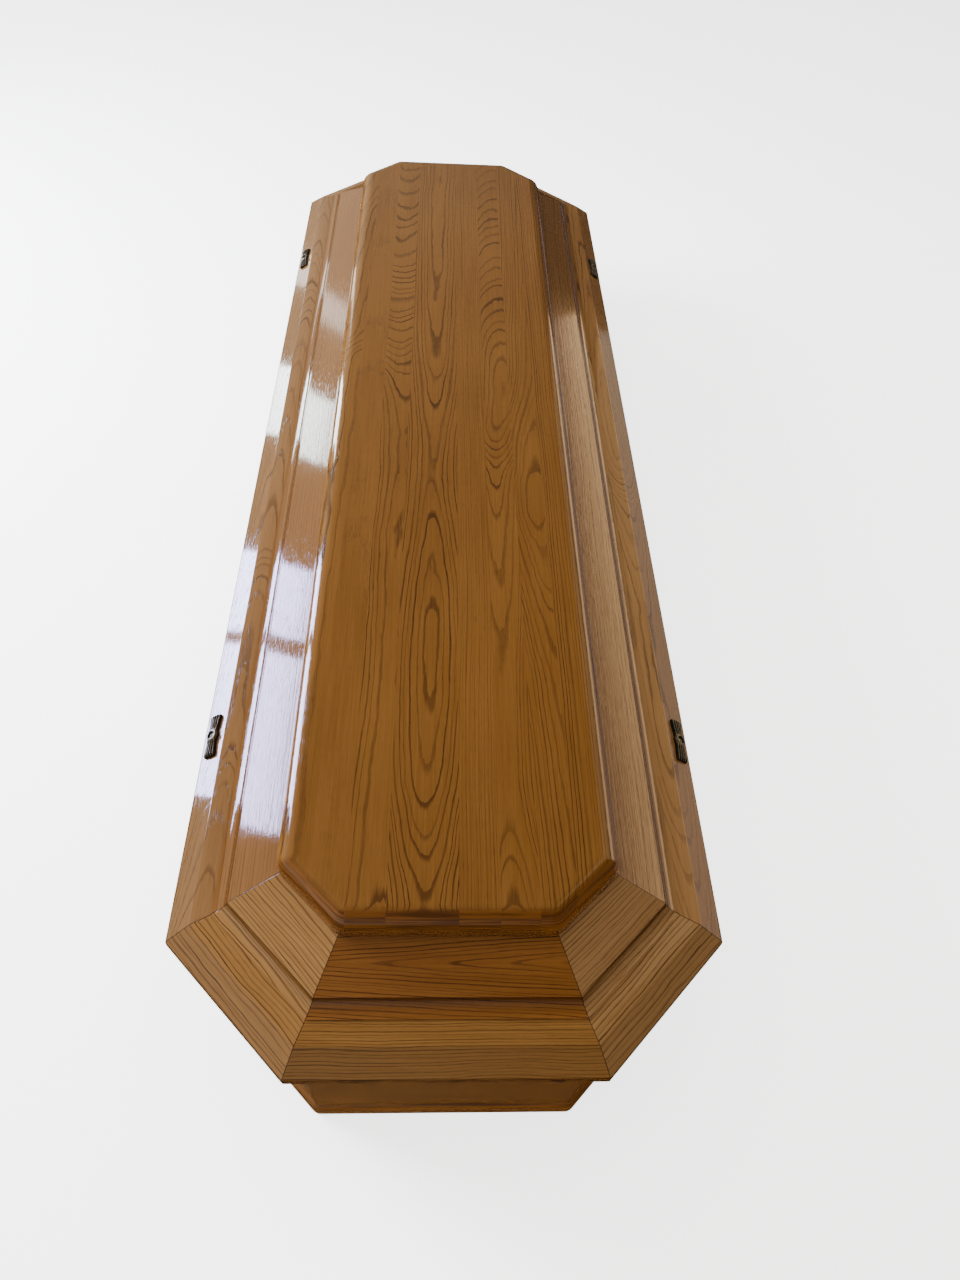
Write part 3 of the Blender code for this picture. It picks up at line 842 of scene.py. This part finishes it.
def panel_levels():
    """The panel's edge, upwards: a lip over the slopes, then a wide rounded shoulder."""
    lap = SEAT_INSET - PANEL_INSET
    fall = lap * math.tan(SLOPE_PITCH)
    lip_foot = PANEL_UNDERSIDE - fall * (lap - PANEL_LIP_ROUND) / lap
    lip = [(lap, PANEL_UNDERSIDE), (PANEL_LIP_ROUND, lip_foot), (0, lip_foot + PANEL_LIP_ROUND)]
    return lip + [(inset, PANEL_TOP - depth) for inset, depth in rounding(PANEL_ROUND_RUN, PANEL_ROUND_DROP)]


def rounded_board(name, inset, corner_radius, levels, material):
    """A flat eight-sided board whose edge is led through levels (inset, height)."""
    shape = bmesh.new()
    loft(shape, [[(x, y, height) for x, y in plan_outline(inset + deep, corner_radius - deep)]
                 for deep, height in levels])
    return oak_piece(name, shape, material)


# How the lid's boards were sawn: rings along the board, place of the pith across it, and its depth
SLOPE_SAWN = {
    "foot": trunk(61, [(-0.2, 0.0), (0.2, 6.6)], pith=0.104, core=0.020, ring=0.0040, contrast=1.0,
                  tone=0.40),
    "foot_left": trunk(62, [(-0.15, 0.0), (0.15, 1.0)], pith=0.32, core=0.05, ring=0.0050, contrast=1.0,
                       tone=0.30, wander=2.2),
    "foot_right": trunk(63, [(-0.15, 0.8), (0.02, 0.0), (0.15, 1.0)], pith=0.30, core=0.05, ring=0.0050,
                        contrast=1.0, tone=0.45, wander=2.2),
    "left": trunk(64, [(-0.9, 0.0), (0.9, 9.0)], pith=0.02, core=0.05, ring=0.0042, contrast=0.55, tone=0.2),
    # The right slope's deeper tone towards the head end is painted shade, where that stretch mirrors nothing
    # bright
    "right": trunk(65, [(-0.9, 4.0), (-0.2, 1.0), (0.9, 0.0)], pith=0.045, core=0.07, ring=0.0042,
                   contrast=1.0, tone=[(-0.9, 1.0), (-0.55, 0.95), (-0.40, 0.55), (-0.30, 0.15),
                                       (0.3, 0.3), (0.9, 0.45)]),
}
MOULDING_SAWN = {
    "foot": trunk(41, [(-0.2, 0.6), (0.0, 0.0), (0.2, 0.9)], pith=0.30, core=0.03, ring=0.0029, contrast=0.9,
                  tone=0.40, wander=1.3),
    "foot_left": trunk(42, [(-0.15, 0.0), (0.15, 1.2)], pith=0.26, core=0.05, ring=0.0046, contrast=0.9,
                       tone=0.30, wander=2.2),
    "foot_right": trunk(43, [(-0.15, 0.8), (0.0, 0.0), (0.15, 0.9)], pith=0.26, core=0.05, ring=0.0046,
                        contrast=0.9, tone=0.42, wander=2.2),
    "left": trunk(44, [(-0.9, 0.0), (-0.82, 2.0), (-0.7, 4.0), (-0.56, 7.0), (-0.42, 7.5), (-0.33, 9.0),
                       (-0.24, 13.0), (-0.1, 14.5), (0.05, 16.0), (0.3, 19.0), (0.6, 26.0), (0.9, 29.0)],
                  pith=0.047, core=0.035, contrast=0.6, tone=0.25),
    "right": trunk(45, [(-0.9, 4.0), (-0.5, 2.0), (0.0, 0.0), (0.06, 1.0), (0.16, 7.0), (0.22, 8.0),
                        (0.36, 9.5), (0.62, 10.0), (0.74, 12.0), (0.84, 14.0), (0.9, 15.0)],
                   pith=0.040, core=0.03, contrast=0.7, tone=0.40),
}
WALLS_SAWN = [trunk(20 + index, [(-1.0, 0.0), (0.0, 2.2), (1.0, 0.0)], pith=0.24 + index * 0.01, core=0.09,
                    ring=0.0046, tone=0.45) for index in range(len(SIDE_NAMES))]
HEAD_SAWN = [trunk(70 + index, [(-1.0, 0.0), (1.0, 3.0)], pith=0.26, core=0.05, ring=0.005, tone=0.35)
             for index in range(len(SIDE_NAMES))]
BASE_SAWN = trunk(90, 0.0, pith=0.1, core=0.12, tone=0.55)


def build_boards():
    """All wooden pieces."""
    for index, (name, half, place) in enumerate(side_places()):
        mitred_board("wall_" + name, wall_section(), half, place,
                     board_oak("wall_oak_" + name, UPRIGHT, half, WALLS_SAWN[index], WALL_STAIN))
        mitred_board("lid_moulding_" + name, moulding_section(), half, place,
                     board_oak("moulding_oak_" + name, 0.0, half, MOULDING_SAWN.get(name, HEAD_SAWN[index]),
                               MOULDING_STAINS_AND_PAINTED_LIGHT.get(name, HEAD_STAIN)))
        mitred_board("lid_slope_" + name, slope_section(), half, place,
                     board_oak("slope_oak_" + name, SLOPE_PITCH, half, SLOPE_SAWN.get(name, HEAD_SAWN[index]),
                               SLOPE_STAINS_AND_PAINTED_LIGHT.get(name, HEAD_STAIN)))
    rounded_board("lid_top_panel", PANEL_INSET, PANEL_CORNER_RADIUS, panel_levels(), panel_oak())
    rounded_board("base_board", BASE_INSET, BASE_CORNER_RADIUS, base_levels(), base_oak())


def rise(value, start, full):
    """A smooth step from 0, where the value is at the start, to 1, where it is full."""
    share = min(max((value - start) / (full - start), 0), 1)
    return share * share * (3 - 2 * share)


def plate_point(along, across):
    """Where a point of the plate's face lies; along and across run from -1 to 1."""
    flare = rise(abs(along), FLARE_START, 1)
    half_width = (PLATE_WAIST_WIDTH + (PLATE_END_WIDTH - PLATE_WAIST_WIDTH) * flare) / 2
    x = along * (PLATE_LENGTH / 2 - RIB_OVERRUN)
    if abs(x) < BOSS_RADIUS:
        half_width = max(half_width, math.sqrt(BOSS_RADIUS ** 2 - x ** 2))
    ridge = abs(math.sin(math.pi * PLATE_RIBS / 2 * (across + 1)))
    x += math.copysign(RIB_OVERRUN * ridge * rise(abs(along), SCALLOP_START, 1), along)
    y = across * half_width
    from_boss = math.hypot(x, y) / BOSS_RADIUS
    boss = BOSS_HEIGHT * rise(from_boss, BOSS_FOOT, BOSS_TOP)
    shoulder = rise(abs(across), 1, 1 - SHOULDER_SHARE)
    ribs = RIB_HEIGHT * ridge * rise(from_boss, RIB_START, RIB_FULL) * rise(abs(along), RIB_TIP, RIB_FALL)
    crown = RIB_HEIGHT * CROWN_SHARE * (1 - across ** 2)
    return Vector((x, y, PLATE_THICK + shoulder * boss + ribs + crown * shoulder))


def plate_shape():
    """A cast plate: ribs that flare to both ends, and a round boss in the middle."""
    shape = bmesh.new()
    bmesh.ops.create_grid(shape, x_segments=PLATE_CELLS_ALONG, y_segments=PLATE_RIBS * PLATE_CELLS_PER_RIB,
                          size=1)
    back = bmesh.ops.extrude_face_region(shape, geom=list(shape.faces))["geom"]
    back_points = {item for item in back if isinstance(item, bmesh.types.BMVert)}
    for vertex in shape.verts:
        point = plate_point(vertex.co.x, vertex.co.y)
        if vertex in back_points:
            point.z = 0
        vertex.co = point
    bmesh.ops.recalc_face_normals(shape, faces=shape.faces)
    return shape


def turned_shape(profile):
    """A turned solid from a profile (radius, height) that starts and ends on the axis."""
    shape = bmesh.new()
    rings = []
    for radius, height in profile[1:-1]:
        ring = []
        for step in range(SCREW_SIDES):
            angle = 2 * math.pi * step / SCREW_SIDES
            ring.append((radius * math.cos(angle), radius * math.sin(angle), height))
        rings.append(ring)
    loft(shape, rings)
    return shape


def screw_profile():
    """A low domed head with a softened rim on a straight shank with a blunt point."""
    under_head = HEAD_TOP - HEAD_HEIGHT
    dome = []
    for step in range(DOME_STEPS + 1):
        angle = math.pi / 2 * step / DOME_STEPS
        dome.append((HEAD_RADIUS * math.sin(angle), HEAD_TOP - HEAD_DOME * (1 - math.cos(angle))))
    upright_share = OUTER_STRIP_RUN / math.hypot(OUTER_STRIP_RUN, CREASE - EDGE_TOP)
    tip = -(((EDGE_TOP + CREASE) / 2 - LID_UNDERSIDE) / upright_share + SCREW_BITE)
    return dome + [(HEAD_RADIUS, under_head), (SHANK_RADIUS, under_head),
                   (SHANK_RADIUS, tip + 2 * SHANK_RADIUS), (SHANK_RADIUS / 4, tip), (0, tip)]


def cylinder_shape(radius, bottom, top):
    """An upright cylinder between two heights."""
    shape = bmesh.new()
    bmesh.ops.create_cone(shape, cap_ends=True, segments=SCREW_SIDES, radius1=radius, radius2=radius,
                          depth=top - bottom, matrix=Matrix.Translation((0, 0, (bottom + top) / 2)))
    return shape


def slot_shape():
    """What the screwdriver's slot takes away."""
    shape = bmesh.new()
    bmesh.ops.create_cube(shape, size=1, matrix=Matrix.Translation((0, 0, HEAD_TOP)) @ Matrix.Diagonal(
        (4 * HEAD_RADIUS, SLOT_WIDTH, 2 * SLOT_DEPTH, 1)))
    return shape


def carved(name, shape, cutters):
    """A mesh from a shape, after shapes have been cut out of it."""
    meshes = []
    for index, part in enumerate([shape] + cutters):
        mesh = bpy.data.meshes.new(name + "_" + str(index))
        part.to_mesh(mesh)
        part.free()
        meshes.append(bpy.data.objects.new(mesh.name, mesh))
        bpy.context.scene.collection.objects.link(meshes[-1])
    whole = meshes[0]
    for cutter in meshes[1:]:
        cut = whole.modifiers.new("Cut", "BOOLEAN")
        cut.object = cutter
    result = bpy.data.meshes.new_from_object(whole.evaluated_get(bpy.context.evaluated_depsgraph_get()))
    for piece in meshes:
        bpy.data.objects.remove(piece, do_unlink=True)
    result.name = name
    return result


def plate_seat(place, station):
    """The frame on the outer strip where a plate lies: X along the side, Z out of the strip."""
    down = Vector((OUTER_STRIP_RUN, 0, CREASE - EDGE_TOP)).normalized()
    out = Vector((-down.z, 0, down.x))
    turn = Matrix((Vector((0, -1, 0)), down, out)).transposed().to_4x4()
    reach = (place.inverted() @ Vector((0, station, 0))).y
    middle = Vector((OUTER_STRIP_RUN / 2, reach, (EDGE_TOP + CREASE) / 2))
    return place @ Matrix.Translation(middle) @ turn


def build_metal():
    """Four cast plates, and the screw through each."""
    bronze = bronze_finish()
    screw_metal = screw_finish()
    places = {name: place for name, _, place in side_places()}
    station = LENGTH / 2 - PLATE_FROM_END
    for end, reach in (("foot", -station), ("head", station)):
        for side in LONG_SIDES:
            seat = plate_seat(places[side], reach)
            node = "screw_plate_" + end + "_" + side
            plate = carved("cast_" + node, plate_shape(),
                           [cylinder_shape(HEAD_RADIUS + HEAD_CLEARANCE, RECESS_FLOOR, 2 * HEAD_TOP),
                            cylinder_shape(SHANK_RADIUS + SHANK_CLEARANCE, -HEAD_TOP, HEAD_TOP)])
            place_piece("cast_" + node, plate, bronze, node, seat @ Matrix.Translation((0, 0, FIT_GAP)))
            node = "lid_screw_" + end + "_" + side
            screw = carved("turned_" + node, turned_shape(screw_profile()), [slot_shape()])
            place_piece("turned_" + node, screw, screw_metal, node, seat)


# Bright cards that only show in the lacquer and the metal, on two walls of the room
WINDOW_WALL = -2.5
FAR_WALL = 3.0
DAYLIGHT = (0.58, 0.59, 1.0)
SKYLIGHT = (0.88, 0.98, 1.0)
DOORLIGHT = (1.0, 0.93, 0.84)
PALE_WALL = (1.0, 0.86, 0.70)
WARM_WALL = (1.0, 0.66, 0.34)
DIM_WALL = (0.78, 0.72, 1.0)

# Name, wall, (along, height) corners, colour and brightness of each card
CARDS = (
    ("near_pane", WINDOW_WALL, ((0.515, 0.32), (1.24, 0.32), (1.558, 1.77), (0.605, 1.77)), DAYLIGHT, 60.0),
    ("middle_pane", WINDOW_WALL, ((1.307, 0.32), (1.788, 0.32), (2.139, 1.77), (1.67, 1.77)), DAYLIGHT, 60.0),
    ("far_window", WINDOW_WALL, ((2.64, 0.32), (3.24, 0.32), (3.586, 1.77), (2.986, 1.77)), SKYLIGHT, 31.0),
    ("far_door", WINDOW_WALL, ((4.05, 0.15), (4.45, 0.15), (4.80, 2.25), (4.45, 2.25)), DOORLIGHT, 6.0),
    ("bright_wall_low", FAR_WALL, ((-0.5, 0.0), (4.3, 0.0), (4.6, 0.9), (-0.5, 0.9)), PALE_WALL, 0.8),
    ("bright_wall", FAR_WALL, ((-0.5, 0.9), (4.6, 0.9), (5.35, 1.81), (-0.5, 1.81)), WARM_WALL, 4.6),
    ("dim_wall", FAR_WALL, ((-0.5, 1.81), (5.35, 1.81), (5.9, 2.6), (-0.5, 2.6)), DIM_WALL, 0.35),
    ("bright_wall_high", FAR_WALL, ((-0.5, 2.6), (5.9, 2.6), (9.0, 7.0), (-0.5, 7.0)), WARM_WALL, 1.3),
    ("tiled_floor", FAR_WALL, ((-1.5, -6.0), (7.0, -6.0), (7.0, -0.05), (-1.5, -0.05)), DIM_WALL, 0.30),
)

# Name, place, point that it looks at, width, height, watts and colour of each soft lamp
COOL_LIGHT = (0.92, 0.96, 1.0)
WARM_LIGHT = (1.0, 0.97, 0.93)
LAMPS = (
    ("near_daylight", (WINDOW_WALL, 0.7, 1.2), (0.0, 0.0, 0.3), 1.5, 2.1, 400.0, COOL_LIGHT),
    ("far_daylight", (WINDOW_WALL, 3.2, 1.2), (0.0, 1.5, 0.3), 0.8, 2.1, 45.0, COOL_LIGHT),
    ("ceiling_fill", (0.0, -0.3, 3.4), (0.0, 0.0, 0.0), 4.0, 4.0, 195.0, WARM_LIGHT),
    ("camera_fill", (0.6, -3.6, 2.4), (0.0, 0.0, 0.2), 2.5, 1.8, 16.0, WARM_LIGHT),
)

# The room round the coffin: brightness from straight down to straight up, and from left to right
ROOM_BY_HEIGHT = (
    (0.0, (0.05, 0.04, 0.03)), (0.48, (0.10, 0.08, 0.06)), (0.55, (0.55, 0.52, 0.47)),
    (0.68, (0.50, 0.48, 0.45)), (0.90, (0.14, 0.14, 0.14)),
)
ROOM_BY_SIDE = (
    (0.0, (1.7, 1.85, 1.75)), (0.35, (1.2, 1.24, 1.15)), (0.6, (0.5, 0.5, 0.5)), (0.75, (0.20, 0.20, 0.20)),
)
HEIGHT_REACH = 1.0
SIDE_REACH = 0.5


def on_stage(name, mesh):
    """Show a mesh that isn't part of the coffin, and whose glow isn't sampled as a lamp's."""
    thing = bpy.data.objects.new(name, mesh)
    bpy.context.scene.collection.objects.link(thing)
    mesh.materials[0].cycles.emission_sampling = "NONE"
    return thing


def add_card(name, wall, corners, colour, brightness):
    """A flat glowing card on a wall of the room."""
    mesh = bpy.data.meshes.new(name)
    mesh.from_pydata([(wall, y, z) for y, z in corners], [], [(0, 1, 2, 3)])
    mesh.materials.append(new_finish(name + "_glow").paint(
        Base_Color=BLACK, Emission_Color=colour, Emission_Strength=brightness))
    card = on_stage(name, mesh)
    card.visible_camera = False
    card.visible_diffuse = False
    card.visible_shadow = False


def add_lamp(name, centre, aim, width, height, watts, colour):
    """A flat soft lamp that looks at a point and doesn't show in the lacquer."""
    data = bpy.data.lights.new(name, "AREA")
    data.shape = "RECTANGLE"
    data.size = width
    data.size_y = height
    data.energy = watts
    data.color = colour
    lamp = bpy.data.objects.new(name, data)
    bpy.context.scene.collection.objects.link(lamp)
    lamp.location = centre
    lamp.rotation_euler = (Vector(aim) - Vector(centre)).to_track_quat("-Z", "Y").to_euler()
    lamp.visible_camera = False
    lamp.visible_glossy = False


def build_room():
    """The walls and the ceiling, seen only as a soft gradient."""
    world = bpy.data.worlds.new("studio")
    bpy.context.scene.world = world
    room = Finish(world, "Background")
    side, _, height = room.split(room.node("ShaderNodeTexCoord", {}, {}, "Generated"))
    ramps = []
    for part, reach, stops in ((height, HEIGHT_REACH, ROOM_BY_HEIGHT), (side, SIDE_REACH, ROOM_BY_SIDE)):
        share = room.node("ShaderNodeMapRange", {}, {"Value": part, "From Min": -reach, "From Max": reach})
        ramps.append(room.node("ShaderNodeValToRGB", {"stops": stops}, {0: share}))
    room.paint(Color=room.blend(1.0, *ramps, "MULTIPLY"), Strength=1.0)


def build_light():
    """Daylight from the left and plain soft studio light."""
    for card in CARDS:
        add_card(*card)
    for lamp in LAMPS:
        add_lamp(*lamp)
    build_room()


def build_floor():
    """A wide plain floor."""
    shape = bmesh.new()
    bmesh.ops.create_grid(shape, x_segments=1, y_segments=1, size=FLOOR_REACH)
    mesh = bpy.data.meshes.new("floor")
    shape.to_mesh(mesh)
    shape.free()
    mesh.materials.append(floor_finish())
    floor = on_stage("floor", mesh)
    floor.location.z = -FLOOR_GAP
    floor.visible_glossy = False


# The camera, solved from the photograph
CAMERA_PLACE = Vector((-0.0200, -1.2520, 1.2943))
CAMERA_DOWN = math.radians(50.8655)
CAMERA_YAW = math.radians(4.4027)
CAMERA_ROLL = math.radians(4.3007)
FOCAL_PIXELS = 931.25
PHOTO_HEIGHT = 1280
SENSOR = 36.0


def build_camera():
    """A camera at the photograph's viewing angle."""
    data = bpy.data.cameras.new("camera")
    data.sensor_width = SENSOR
    data.lens = SENSOR * FOCAL_PIXELS / PHOTO_HEIGHT
    camera = bpy.data.objects.new("camera", data)
    bpy.context.scene.collection.objects.link(camera)
    turn = (Matrix.Rotation(-CAMERA_YAW, 3, "Z") @ Matrix.Rotation(math.pi / 2 - CAMERA_DOWN, 3, "X")
            @ Matrix.Rotation(CAMERA_ROLL, 3, "Z"))
    camera.matrix_world = Matrix.Translation(CAMERA_PLACE) @ turn.to_4x4()
    bpy.context.scene.camera = camera


def build():
    """Dress the whole coffin and set the stage."""
    build_camera()
    build_boards()
    build_metal()
    build_floor()
    build_light()


build()
